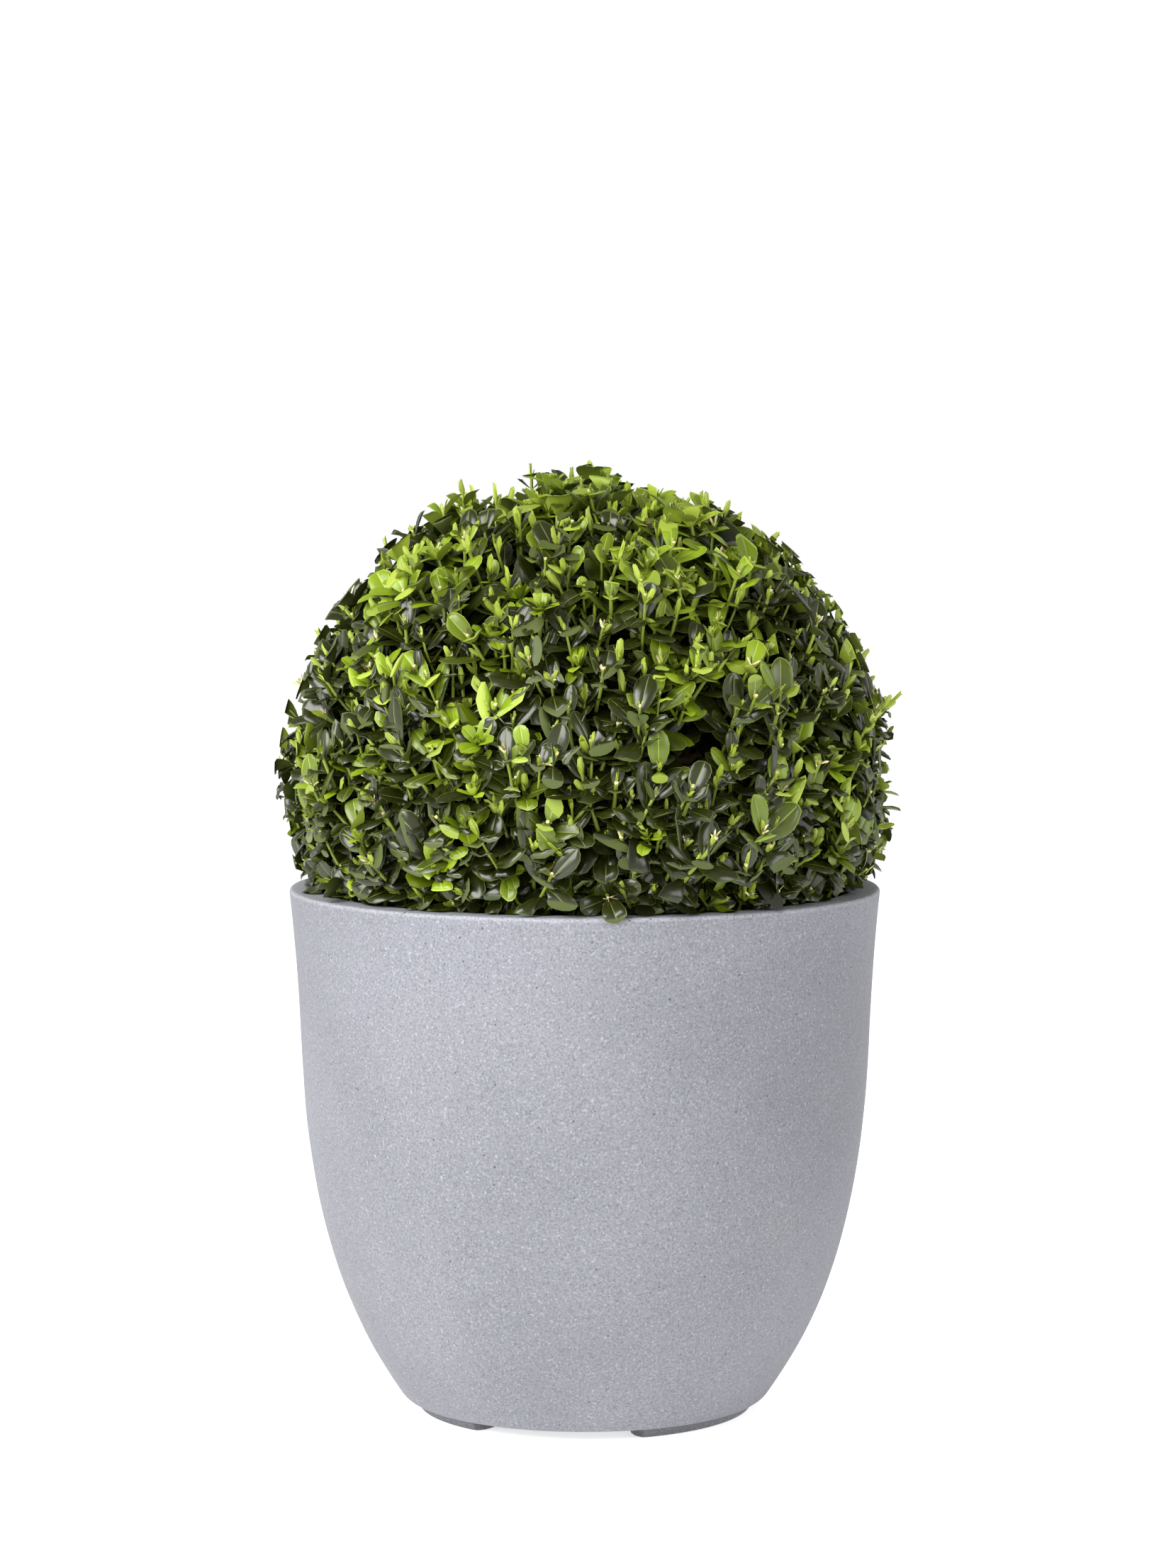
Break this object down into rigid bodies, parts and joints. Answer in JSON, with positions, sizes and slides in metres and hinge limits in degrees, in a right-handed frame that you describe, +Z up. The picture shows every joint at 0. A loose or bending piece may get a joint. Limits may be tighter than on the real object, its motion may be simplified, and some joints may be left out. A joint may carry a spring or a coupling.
{
  "type": "clipped box topiary ball in a round planter",
  "caption": "Evergreen box shrub clipped to a ball, growing in a round, tapering fibre-clay planter that stands on low arc-shaped feet.",
  "frame": {"origin": "on the ground under the planter's axis, midway between the object's sides", "axes": "+Z up along the planter's axis, -Y towards the front, +X to the right seen from the front"},
  "size_m": [0.3645, 0.3637, 0.5617],
  "materials": {
    "fibre_clay": "matte",
    "foot_clay": "matte",
    "compost": "matte",
    "bark": "matte",
    "foliage": "satin"
  },
  "bodies": {
    "root": {"planter": "fibre_clay", "planter_foot_1": "foot_clay", "planter_foot_2": "foot_clay", "planter_foot_3": "foot_clay", "compost": "compost", "main_stem": "bark", "crown": "foliage"}
  },
  "joints": []
}
